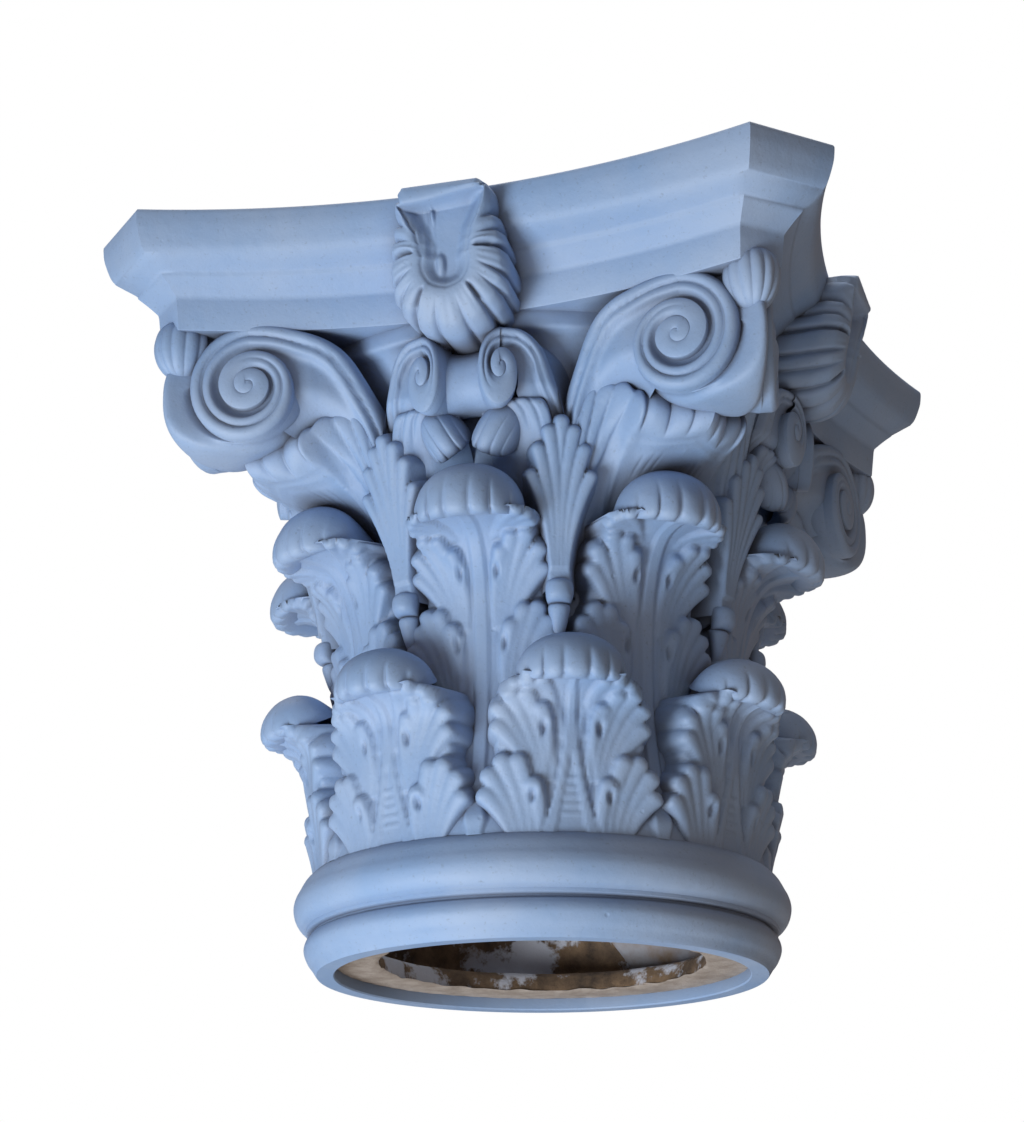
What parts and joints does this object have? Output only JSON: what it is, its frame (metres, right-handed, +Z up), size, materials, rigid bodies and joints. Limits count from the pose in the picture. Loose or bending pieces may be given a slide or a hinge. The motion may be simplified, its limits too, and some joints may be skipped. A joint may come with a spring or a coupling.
{
  "type": "column capital",
  "caption": "Hollow cast Corinthian column capital: concave abacus over corner volutes and rows of acanthus leaves, on a round astragal ring with an open mouth.",
  "frame": {"origin": "centre of the round rim on the underside", "axes": "+Z up along the column's axis, -Y out of one side of the abacus, +X out of the next"},
  "size_m": [0.6019, 0.6019, 0.573],
  "materials": {
    "painted_casting": "matte painted casting"
  },
  "bodies": {
    "root": {"capital": "painted_casting"}
  },
  "joints": []
}
